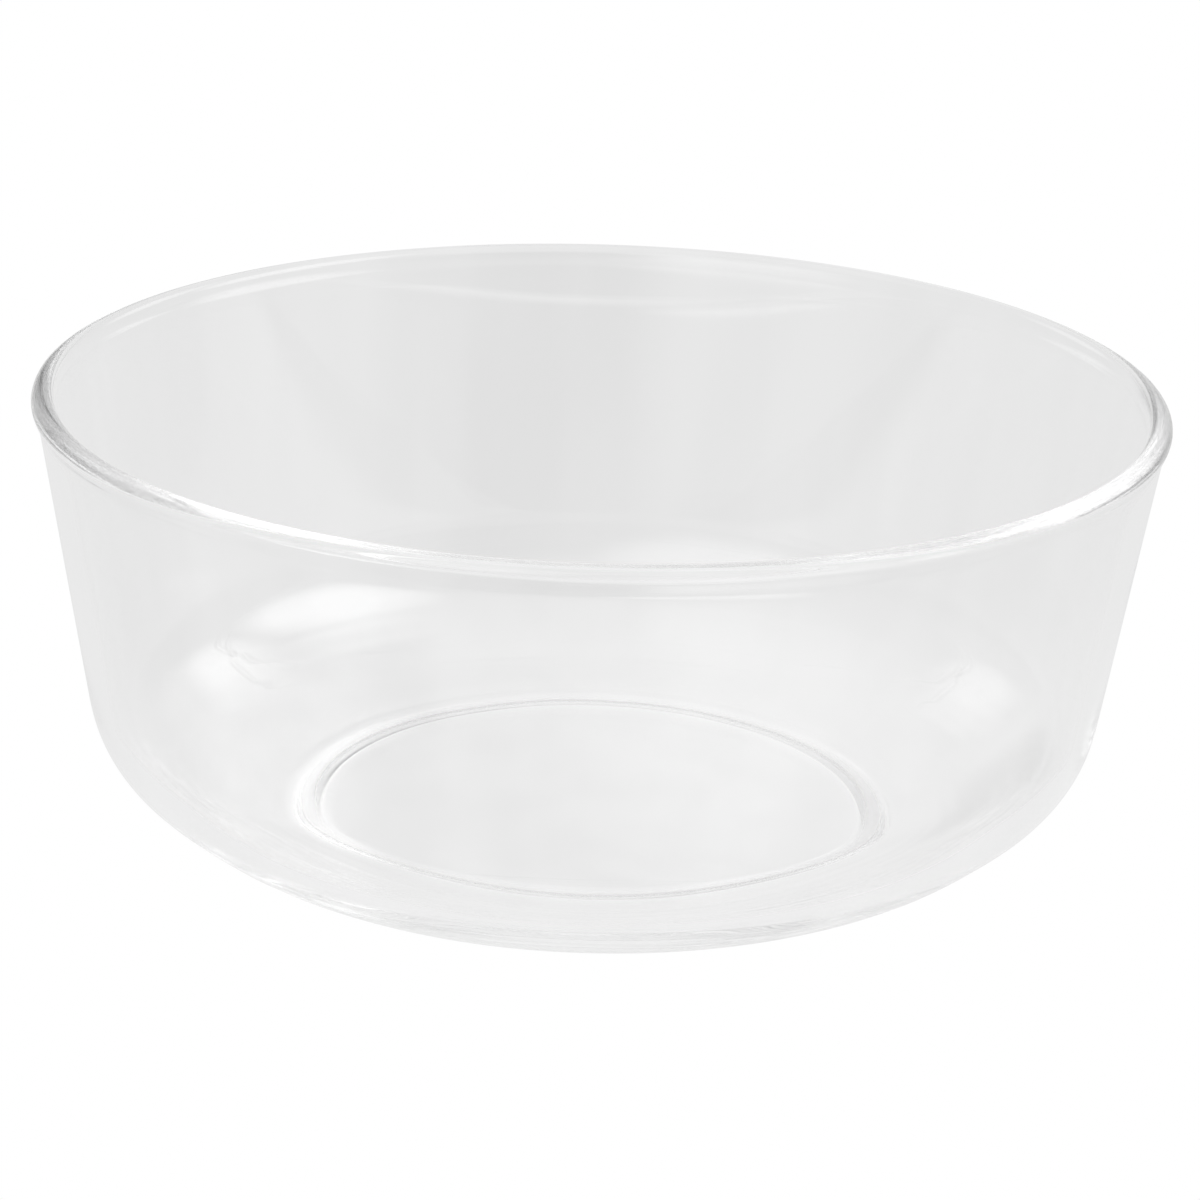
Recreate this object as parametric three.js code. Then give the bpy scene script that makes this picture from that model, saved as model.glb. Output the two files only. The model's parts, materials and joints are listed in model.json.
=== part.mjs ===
// A crystallizing dish: a wide, shallow, round laboratory dish of clear moulded glass.
// Millimetres, +Z up. The origin is the centre of the foot ring's flat underside, on the bench.
// The whole dish is one piece of glass, made by turning one closed outline about Z.

import * as THREE from 'three';

// Overall size
const RIM_DIAMETER = 190;
const HEIGHT = 78.2;

// Wall and rim
const WALL_THICKNESS = 3.4;
const WALL_LEAN = THREE.MathUtils.degToRad(9.1); // how far the wall leans outwards from upright
const BEAD_RADIUS = 2.05; // the round bead that edges the rim
const BEAD_FILLET = 4; // the hollow that eases the bead into the wall's outer face

// Heel: the round turn from the floor to the wall, in two bends with a short cone between.
// Both faces bend on the same radii, which leaves the glass a little thicker in the bends.
const HEEL_SLOPE = THREE.MathUtils.degToRad(40); // the cone's angle above level
const LOWER_BEND = 38;
const UPPER_BEND = 20;

// Floor and foot ring
const FLOOR_THICKNESS = 4.4;
const FOOT_RADIUS = 48.9; // middle of the ring's flat land
const FOOT_WIDTH = 1.6; // width of the flat land
const FOOT_DEPTH = 0.8; // how far the ring stands below the underside
const FOOT_SIDE = 1.8; // how far each side of the ring spreads on its way up
const FOOT_ROUNDING = 3.6;

// How finely curves are cut into flats
const SEGMENTS_AROUND = 72;
const CHORD_ERROR = 0.04;

const point = (radius, height) => new THREE.Vector2(radius, height);

// Points along an arc, both ends included. Angles are from the outward direction, anticlockwise.
function arc(centre, radius, startAngle, endAngle) {
  const largestStep = 2 * Math.acos(1 - CHORD_ERROR / radius);
  const steps = Math.max(2, Math.ceil(Math.abs(endAngle - startAngle) / largestStep));
  return Array.from({ length: steps + 1 }, (_, i) => {
    const angle = startAngle + ((endAngle - startAngle) * i) / steps;
    return point(centre.x + radius * Math.cos(angle), centre.y + radius * Math.sin(angle));
  });
}

// The arc that rounds a corner between two straight sides and touches both.
function roundedCorner(before, corner, after, radius) {
  const back = before.clone().sub(corner).normalize();
  const ahead = after.clone().sub(corner).normalize();
  const halfOpening = Math.acos(back.dot(ahead)) / 2;
  const middle = back.clone().add(ahead).normalize();
  const centre = corner.clone().addScaledVector(middle, radius / Math.sin(halfOpening));
  const start = corner.clone().addScaledVector(back, radius / Math.tan(halfOpening));
  const startAngle = start.sub(centre).angle();
  const turnsLeft = back.cross(ahead) < 0;
  const turn = Math.PI - 2 * halfOpening;
  return arc(centre, radius, startAngle, startAngle + (turnsLeft ? turn : -turn));
}

// Where a line through a point, at an angle above level, crosses another such line.
function crossing(pointA, angleA, pointB, angleB) {
  const directionA = point(Math.cos(angleA), Math.sin(angleA));
  const directionB = point(Math.cos(angleB), Math.sin(angleB));
  const between = pointB.clone().sub(pointA);
  const distance = between.cross(directionB) / directionA.cross(directionB);
  return pointA.clone().addScaledVector(directionA, distance);
}

// The foot ring, from the middle of the underside out to the start of the heel.
function footOutline() {
  const landInside = FOOT_RADIUS - FOOT_WIDTH / 2;
  const landOutside = FOOT_RADIUS + FOOT_WIDTH / 2;
  const centre = point(0, FOOT_DEPTH);
  const insideTop = point(landInside - FOOT_SIDE, FOOT_DEPTH);
  const insideLand = point(landInside, 0);
  const outsideLand = point(landOutside, 0);
  const outsideTop = point(landOutside + FOOT_SIDE, FOOT_DEPTH);
  return [
    centre,
    ...roundedCorner(centre, insideTop, insideLand, FOOT_ROUNDING),
    ...roundedCorner(insideTop, insideLand, outsideLand, FOOT_ROUNDING),
    ...roundedCorner(insideLand, outsideLand, outsideTop, FOOT_ROUNDING),
  ];
}

// The heel of one face of the glass, from its level part up to its wall.
function heelOutline(levelHeight, wallPoint, wallAngle) {
  const bendStart = point(FOOT_RADIUS + FOOT_WIDTH / 2 + FOOT_SIDE, levelHeight);
  const coneStart = bendStart.clone().add(point(LOWER_BEND * Math.tan(HEEL_SLOPE / 2), 0));
  const coneEnd = crossing(coneStart, HEEL_SLOPE, wallPoint, wallAngle);
  return [
    ...roundedCorner(bendStart, coneStart, coneEnd, LOWER_BEND),
    ...roundedCorner(coneStart, coneEnd, wallPoint, UPPER_BEND),
  ];
}

// The whole outline, anticlockwise: out along the underside, up the outside, over the bead,
// down the inside and back along the floor to the axis.
function dishOutline() {
  const wallAngle = Math.PI / 2 - WALL_LEAN;
  const wallOutward = point(Math.cos(WALL_LEAN), -Math.sin(WALL_LEAN));
  const wallUp = point(Math.sin(WALL_LEAN), Math.cos(WALL_LEAN));

  // The wall's inner face runs straight into the bead, so the bead's circle touches it.
  const beadCentre = point(RIM_DIAMETER / 2 - BEAD_RADIUS, HEIGHT - BEAD_RADIUS);
  const innerFace = beadCentre.clone().addScaledVector(wallOutward, -BEAD_RADIUS);
  const outerFace = innerFace.clone().addScaledVector(wallOutward, WALL_THICKNESS);

  // The hollow under the bead touches both the bead's circle and the wall's outer face.
  const filletOut = WALL_THICKNESS - BEAD_RADIUS + BEAD_FILLET;
  const filletDown = Math.sqrt((BEAD_RADIUS + BEAD_FILLET) ** 2 - filletOut ** 2);
  const filletCentre = beadCentre.clone()
    .addScaledVector(wallOutward, filletOut)
    .addScaledVector(wallUp, -filletDown);
  const filletToBead = beadCentre.clone().sub(filletCentre).angle();
  const beadFromFillet = filletToBead - Math.PI;
  const floorTop = FOOT_DEPTH + FLOOR_THICKNESS;

  return [
    ...footOutline(),
    ...heelOutline(FOOT_DEPTH, outerFace, wallAngle),
    ...arc(filletCentre, BEAD_FILLET, Math.PI - WALL_LEAN, filletToBead),
    ...arc(beadCentre, BEAD_RADIUS, beadFromFillet, Math.PI - WALL_LEAN).slice(1),
    ...heelOutline(floorTop, innerFace, wallAngle).reverse(),
    point(0, floorTop),
  ];
}

function clearGlass() {
  return new THREE.MeshStandardMaterial({
    name: 'clear_glass',
    color: 0xe9ecec,
    roughness: 0.03,
    metalness: 0,
    transparent: true,
    opacity: 0.35,
  });
}

function makeDish() {
  const geometry = new THREE.LatheGeometry(dishOutline(), SEGMENTS_AROUND);
  geometry.rotateX(Math.PI / 2); // the lathe turns about Y, and the dish stands along Z
  const mesh = new THREE.Mesh(geometry, clearGlass());
  mesh.name = 'dish';
  return mesh;
}

const crystallizingDish = new THREE.Group();
crystallizingDish.add(makeDish());

export default crystallizingDish;
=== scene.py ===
"""Looks of a crystallizing dish: one smooth body of clear moulded glass in place of its faceted CAD solid.

Metres, +Z up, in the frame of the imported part. The dish stands on the floor at the origin.
"""

import json
import math

import bmesh
import bpy
import numpy as np
from mathutils import Matrix, Vector, noise


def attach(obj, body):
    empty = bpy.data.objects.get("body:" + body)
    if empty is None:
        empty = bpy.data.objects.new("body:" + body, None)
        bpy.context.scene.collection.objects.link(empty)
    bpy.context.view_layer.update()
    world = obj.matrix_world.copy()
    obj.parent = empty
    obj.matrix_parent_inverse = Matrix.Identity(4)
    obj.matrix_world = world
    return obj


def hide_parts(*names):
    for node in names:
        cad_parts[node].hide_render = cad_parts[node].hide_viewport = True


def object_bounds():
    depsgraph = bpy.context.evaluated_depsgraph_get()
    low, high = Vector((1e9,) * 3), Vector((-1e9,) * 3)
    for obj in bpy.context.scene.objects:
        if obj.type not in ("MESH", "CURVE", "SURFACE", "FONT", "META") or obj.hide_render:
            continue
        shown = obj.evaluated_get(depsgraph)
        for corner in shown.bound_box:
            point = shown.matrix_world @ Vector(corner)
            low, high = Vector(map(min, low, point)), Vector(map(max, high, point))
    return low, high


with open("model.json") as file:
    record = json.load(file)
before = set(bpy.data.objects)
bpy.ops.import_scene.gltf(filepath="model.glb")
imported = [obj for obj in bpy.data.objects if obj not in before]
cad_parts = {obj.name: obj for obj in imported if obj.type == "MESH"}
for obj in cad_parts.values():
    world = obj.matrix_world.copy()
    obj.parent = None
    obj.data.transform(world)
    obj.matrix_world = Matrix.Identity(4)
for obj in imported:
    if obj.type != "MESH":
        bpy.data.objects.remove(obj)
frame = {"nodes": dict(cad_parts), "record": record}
cad_low, cad_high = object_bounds()

MM = 0.001
WHITE = (1.0, 1.0, 1.0, 1.0)
SAME_PLACE = 0.001 * MM  # points closer than this are one point

# How finely the glass is built
LONGEST_STEP = 2.5 * MM  # along the outline of the section
SEGMENTS_AROUND = 144
SUBDIVISIONS = 2

# How uneven the moulding leaves the faces of the glass
WAVE_DEPTH = 0.05 * MM
WAVE_LENGTH = 22 * MM

# The glass. Noise is given in waves to the metre along X, Y and Z.
REFRACTIVE_INDEX = 1.47
NOISE_DETAIL = 2.0
STREAKS = (60, 60, 12)  # long upwards
MOST_TINTED = 0.35  # the noise at and below which a streak has its full tint
LEAST_TINTED = 0.65  # the noise at and above which there is none
STREAK_TINT = 0.975  # the share of light that the most tinted streaks let through
POLISH_MARKS = (70, 70, 2600)  # long around the rim
POLISH_DEPTH = 0.004 * MM
RIM_BAND = 4 * MM  # how far down from the top the polish marks reach
FOOT_SCUFF = 0.35  # roughness of the glass where the foot wears on the bench
SCUFF_HEIGHT = 0.8 * MM  # how far up the wear reaches
MOST_BOUNCES = 256  # light goes round and round inside the wall before it leaves

# The floor. Greys are linear, and white is 1. In front is -Y, towards the camera, and the places
# where greys start and end are distances along Y.
FLOOR_REACH = 6.0  # how far the floor goes each way
# Painted light: the floor's glow, as the glass sees it, is brighter in front of the dish, dimmer behind
# it, and fades far in front.
GREY_IN_FRONT = 0.95
GREY_BEHIND = 0.82
FRONT_GREY_ENDS = -0.3
BACK_GREY_STARTS = 0.12
FADE_IN_FRONT = 0.5  # what is left of the floor's grey far in front of the dish
FADE_STARTS = -0.2
FADE_ENDS = -0.9

# Light that the dish gathers on the floor, which is painted there and not traced: a ring under its foot,
# brightest on the left, and a wide patch centred under the heel, behind and to the right
FOOT_GLOW = 0.07
FOOT_GLOW_ON_LEFT = 0.4
LEFT_GLOW_ENDS = 0.6  # how far left of the axis the ring has its even glow again, in foot radii
FOOT_GLOW_WIDTH = 5 * MM  # each way from the foot's middle line
PATCH_CENTRE = (0.04, 0.05, 0.0)
PATCH_REACH = 0.1
PATCH_GLOW = 0.09

# The room. A light is (azimuth, elevation, reach, strength), with angles in degrees: azimuth 0 is
# right and 90 is behind. Its strength adds to the room's grey, so a negative one is a dark card.
ROOM_GREY = 0.65
SOFT_LIGHTS = {
    "ceiling": (0, 90, 45, 0.4),
    "right softbox": (0, 45, 25, 2.5),
    "front left softbox": (240, 30, 30, 1.2),
    "back right window": (45, 35, 15, 1.5),
    "back left window": (135, 30, 15, 1.0),
    "back wall": (90, 0, 50, 0.2),
    "back left card": (105, 10, 15, -0.5),
    "dark room behind the camera": (285, 10, 40, -0.6),
}

# The camera
CAMERA_DISTANCE_IN_RIM_RADII = 7.4
CAMERA_ELEVATION = math.radians(19.4)
CAMERA_ROLL = math.radians(1.7)
LENS_MM = 123.7
SENSOR_MM = 36.0
CAMERA_SHIFT = Vector((0.6, 0.0, 0.7)) * MM  # sideways and up, with no change of direction


def section_outline(node):
    """The outline that a CAD node is turned from, as (radius, height).

    It starts on the axis below, goes round the outside and ends on the axis above.
    """
    mesh = bmesh.new()
    mesh.from_mesh(node.data)
    bmesh.ops.remove_doubles(mesh, verts=mesh.verts, dist=SAME_PLACE)
    on_plane = [vertex for vertex in mesh.verts if abs(vertex.co.y) < SAME_PLACE]
    section = {vertex for vertex in on_plane if vertex.co.x > -SAME_PLACE}
    on_axis = [vertex for vertex in section if vertex.co.x < SAME_PLACE]
    here = min(on_axis, key=lambda vertex: vertex.co.z)
    outline = []
    while here is not None:
        outline.append((max(here.co.x, 0.0), here.co.z))
        section.remove(here)
        beside = [edge.other_vert(here) for edge in here.link_edges]
        here = next((vertex for vertex in beside if vertex in section), None)
    mesh.free()
    return np.array(outline)


def with_short_steps(outline, longest):
    """The outline with long straight stretches cut into even steps."""
    points = [outline[0]]
    for start, end in zip(outline[:-1], outline[1:]):
        steps = max(1, math.ceil(np.linalg.norm(end - start) / longest))
        points += [start + (end - start) * i / steps for i in range(1, steps + 1)]
    return np.array(points)


def turned_mesh(name, outline, segments):
    """A closed body made by turning an outline that starts and ends on the Z axis."""
    mesh = bmesh.new()
    bottom = mesh.verts.new((0.0, 0.0, outline[0][1]))
    top = mesh.verts.new((0.0, 0.0, outline[-1][1]))
    turns = [2 * math.pi * i / segments for i in range(segments)]
    rings = []
    for radius, height in outline[1:-1]:
        places = [(radius * math.cos(turn), radius * math.sin(turn), height) for turn in turns]
        rings.append([mesh.verts.new(place) for place in places])
    for i in range(segments):
        after = (i + 1) % segments
        mesh.faces.new((bottom, rings[0][after], rings[0][i]))
        mesh.faces.new((top, rings[-1][i], rings[-1][after]))
        for below, above in zip(rings[:-1], rings[1:]):
            mesh.faces.new((below[i], below[after], above[after], above[i]))
    for face in mesh.faces:
        face.smooth = True
    data = bpy.data.meshes.new(name)
    mesh.to_mesh(data)
    mesh.free()
    piece = bpy.data.objects.new(name, data)
    bpy.context.scene.collection.objects.link(piece)
    return piece


def feed(tree, socket, value):
    """Gives a socket a plain value, or links it to another socket."""
    if isinstance(value, bpy.types.NodeSocket):
        tree.links.new(value, socket)
    else:
        socket.default_value = value


def arithmetic(tree, operation, *values):
    node = tree.nodes.new("ShaderNodeMath")
    node.operation = operation
    for socket, value in zip(node.inputs, values):
        feed(tree, socket, value)
    return node.outputs["Value"]


def vector_arithmetic(tree, operation, *vectors):
    node = tree.nodes.new("ShaderNodeVectorMath")
    node.operation = operation
    for socket, vector in zip(node.inputs, vectors):
        feed(tree, socket, vector)
    return node.outputs


def along_axis(tree, vector, axis):
    """One component of a vector, named X, Y or Z."""
    split = tree.nodes.new("ShaderNodeSeparateXYZ")
    tree.links.new(vector, split.inputs["Vector"])
    return split.outputs[axis]


def map_range(tree, value, start, end, low, high):
    """A value that goes smoothly from low to high as another goes from start to end."""
    node = tree.nodes.new("ShaderNodeMapRange")
    node.interpolation_type = "SMOOTHSTEP"
    feed(tree, node.inputs["Value"], value)
    node.inputs["From Min"].default_value = start
    node.inputs["From Max"].default_value = end
    feed(tree, node.inputs["To Min"], low)
    feed(tree, node.inputs["To Max"], high)
    return node.outputs["Result"]


def noise_texture(tree, place, waves_per_metre):
    """Smooth noise with its own number of waves to the metre along each axis."""
    scaled = vector_arithmetic(tree, "MULTIPLY", place, waves_per_metre)["Vector"]
    texture = tree.nodes.new("ShaderNodeTexNoise")
    texture.inputs["Scale"].default_value = 1.0
    texture.inputs["Detail"].default_value = NOISE_DETAIL
    tree.links.new(scaled, texture.inputs["Vector"])
    return texture.outputs["Fac"]


def white_to_camera(tree, grey):
    """White to the camera, and a grey to every ray that has met the glass."""
    path = tree.nodes.new("ShaderNodeLightPath")
    mix = tree.nodes.new("ShaderNodeMix")
    mix.data_type = "RGBA"
    tree.links.new(path.outputs["Is Camera Ray"], mix.inputs["Factor"])
    tree.links.new(grey, mix.inputs["A"])
    mix.inputs["B"].default_value = WHITE
    return mix.outputs["Result"]


def make_uneven(piece):
    """Sinks the surface in a slow wave, which isn't the same on the two faces of the glass."""
    places = [(vertex.co.copy(), vertex.normal.copy()) for vertex in piece.data.vertices]
    for vertex, (place, outwards) in zip(piece.data.vertices, places):
        wave = (1 + noise.noise(place / WAVE_LENGTH + outwards)) / 2
        vertex.co = place - outwards * WAVE_DEPTH * wave


def tinted_streaks(tree, place):
    """The glass's own colour, a little darker in streaks that run up the wall."""
    streaks = noise_texture(tree, place, STREAKS)
    return map_range(tree, streaks, MOST_TINTED, LEAST_TINTED, STREAK_TINT, 1.0)


def scuffed_foot(tree, height):
    """Roughness: the glass is dull where it stands on the bench, and clear above."""
    return map_range(tree, height, 0.0, SCUFF_HEIGHT, FOOT_SCUFF, 0.0)


def polish_marks(tree, place, height):
    """Fine marks around the rim, which fade out down the wall."""
    band_bottom = cad_high.z - RIM_BAND
    bump = tree.nodes.new("ShaderNodeBump")
    bump.inputs["Distance"].default_value = POLISH_DEPTH
    on_rim = map_range(tree, height, band_bottom, band_bottom + RIM_BAND / 2, 0.0, 1.0)
    tree.links.new(on_rim, bump.inputs["Strength"])
    tree.links.new(noise_texture(tree, place, POLISH_MARKS), bump.inputs["Height"])
    return bump.outputs["Normal"]


def clear_glass():
    """Clear moulded glass with faint streaks, a polished rim and a worn foot."""
    material = bpy.data.materials.new("clear_glass")
    material.use_nodes = True
    tree = material.node_tree
    place = tree.nodes.new("ShaderNodeTexCoord").outputs["Object"]
    height = along_axis(tree, place, "Z")
    shader = tree.nodes["Principled BSDF"]
    shader.inputs["Transmission Weight"].default_value = 1.0
    shader.inputs["IOR"].default_value = REFRACTIVE_INDEX
    tree.links.new(tinted_streaks(tree, place), shader.inputs["Base Color"])
    tree.links.new(scuffed_foot(tree, height), shader.inputs["Roughness"])
    tree.links.new(polish_marks(tree, place, height), shader.inputs["Normal"])
    return material


def make_dish():
    """The dish itself, in place of its CAD solid."""
    outline = with_short_steps(section_outline(frame["nodes"]["dish"]), LONGEST_STEP)
    dish = turned_mesh("glass_dish", outline, SEGMENTS_AROUND)
    make_uneven(dish)
    smooth = dish.modifiers.new("smooth", "SUBSURF")
    smooth.levels = smooth.render_levels = SUBDIVISIONS
    dish.data.materials.append(clear_glass())
    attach(dish, "root")
    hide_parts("dish")


def foot_glow(tree, place):
    """The ring of light under the foot, as a share to add to the floor's grey."""
    foot_mount = next(mount for mount in frame["record"]["mounts"] if mount["name"] == "foot")
    foot_radius = foot_mount["pos_m"][0]
    from_axis = vector_arithmetic(tree, "LENGTH", place)["Value"]
    from_foot = arithmetic(tree, "ABSOLUTE", arithmetic(tree, "SUBTRACT", from_axis, foot_radius))
    rightwards = along_axis(tree, place, "X")
    left_ends = -LEFT_GLOW_ENDS * foot_radius
    glow = map_range(tree, rightwards, -foot_radius, left_ends, FOOT_GLOW_ON_LEFT, FOOT_GLOW)
    return map_range(tree, from_foot, 0.0, FOOT_GLOW_WIDTH, glow, 0.0)


def floor_grey(tree):
    """The grey of the floor as the glass sees it: painted light, brighter in front and dimmer behind and
    fading far in front, with the painted ring of light under the foot and the painted patch of light
    added.
    """
    place = tree.nodes.new("ShaderNodeNewGeometry").outputs["Position"]
    backwards = along_axis(tree, place, "Y")
    # Painted light: brighter in front of the dish and dimmer behind it, then fading far in front.
    grey = map_range(tree, backwards, FRONT_GREY_ENDS, BACK_GREY_STARTS, GREY_IN_FRONT, GREY_BEHIND)
    fade = map_range(tree, backwards, FADE_ENDS, FADE_STARTS, FADE_IN_FRONT, 1.0)
    grey = arithmetic(tree, "MULTIPLY", grey, fade)
    grey = arithmetic(tree, "MULTIPLY_ADD", grey, foot_glow(tree, place), grey)
    from_patch = vector_arithmetic(tree, "DISTANCE", place, PATCH_CENTRE)["Value"]
    patch = map_range(tree, from_patch, 0.0, PATCH_REACH, PATCH_GLOW, 0.0)
    return arithmetic(tree, "ADD", grey, patch)


def make_floor():
    """A pale floor that gives off its own light, so that it is free of noise and hard shadows."""
    mesh = bpy.data.meshes.new("floor")
    corners = [(x * FLOOR_REACH, y * FLOOR_REACH, 0.0) for x, y in ((-1, -1), (1, -1), (1, 1), (-1, 1))]
    mesh.from_pydata(corners, [], [(0, 1, 2, 3)])
    floor = bpy.data.objects.new("floor", mesh)
    bpy.context.scene.collection.objects.link(floor)
    material = bpy.data.materials.new("pale_floor")
    material.use_nodes = True
    tree = material.node_tree
    tree.nodes.clear()
    glow = tree.nodes.new("ShaderNodeEmission")
    output = tree.nodes.new("ShaderNodeOutputMaterial")
    tree.links.new(white_to_camera(tree, floor_grey(tree)), glow.inputs["Color"])
    tree.links.new(glow.outputs["Emission"], output.inputs["Surface"])
    mesh.materials.append(material)


def soft_light(tree, direction, azimuth, elevation, reach, strength):
    """The glow of one soft light, strongest at its middle and gone at its reach."""
    turn = math.radians(azimuth)
    rise = math.radians(elevation)
    towards = (math.cos(rise) * math.cos(turn), math.cos(rise) * math.sin(turn), math.sin(rise))
    facing = vector_arithmetic(tree, "DOT_PRODUCT", direction, towards)["Value"]
    return map_range(tree, facing, math.cos(math.radians(reach)), 1.0, 0.0, strength)


def make_world():
    """A pale studio: even grey walls with a few wide soft lights and dark cards."""
    world = bpy.data.worlds.new("studio")
    bpy.context.scene.world = world
    world.use_nodes = True
    tree = world.node_tree
    direction = tree.nodes.new("ShaderNodeTexCoord").outputs["Generated"]
    total = ROOM_GREY
    for light in SOFT_LIGHTS.values():
        total = arithmetic(tree, "ADD", total, soft_light(tree, direction, *light))
    tree.links.new(white_to_camera(tree, total), tree.nodes["Background"].inputs["Color"])


def make_camera():
    """The camera is in front of the dish and above it, aimed at about its middle, and leans a little."""
    middle = Vector((0.0, 0.0, (cad_low.z + cad_high.z) / 2))
    rim_radius = cad_high.x
    distance = CAMERA_DISTANCE_IN_RIM_RADII * rim_radius
    towards = Vector((0.0, -math.cos(CAMERA_ELEVATION), math.sin(CAMERA_ELEVATION)))
    data = bpy.data.cameras.new("camera")
    data.lens = LENS_MM
    data.sensor_width = SENSOR_MM
    camera = bpy.data.objects.new("camera", data)
    bpy.context.scene.collection.objects.link(camera)
    place = Matrix.Translation(middle + towards * distance + CAMERA_SHIFT)
    look = (-towards).to_track_quat("-Z", "Y").to_matrix().to_4x4()
    camera.matrix_world = place @ look @ Matrix.Rotation(CAMERA_ROLL, 4, "Z")
    bpy.context.scene.camera = camera


def set_light_paths_and_tones():
    """Lets light bounce until it gets out of the glass, and shows tones as they are."""
    cycles = bpy.context.scene.cycles
    cycles.max_bounces = MOST_BOUNCES
    cycles.transmission_bounces = MOST_BOUNCES
    cycles.glossy_bounces = MOST_BOUNCES
    bpy.context.scene.view_settings.view_transform = "Standard"


make_dish()
make_floor()
make_world()
make_camera()
set_light_paths_and_tones()
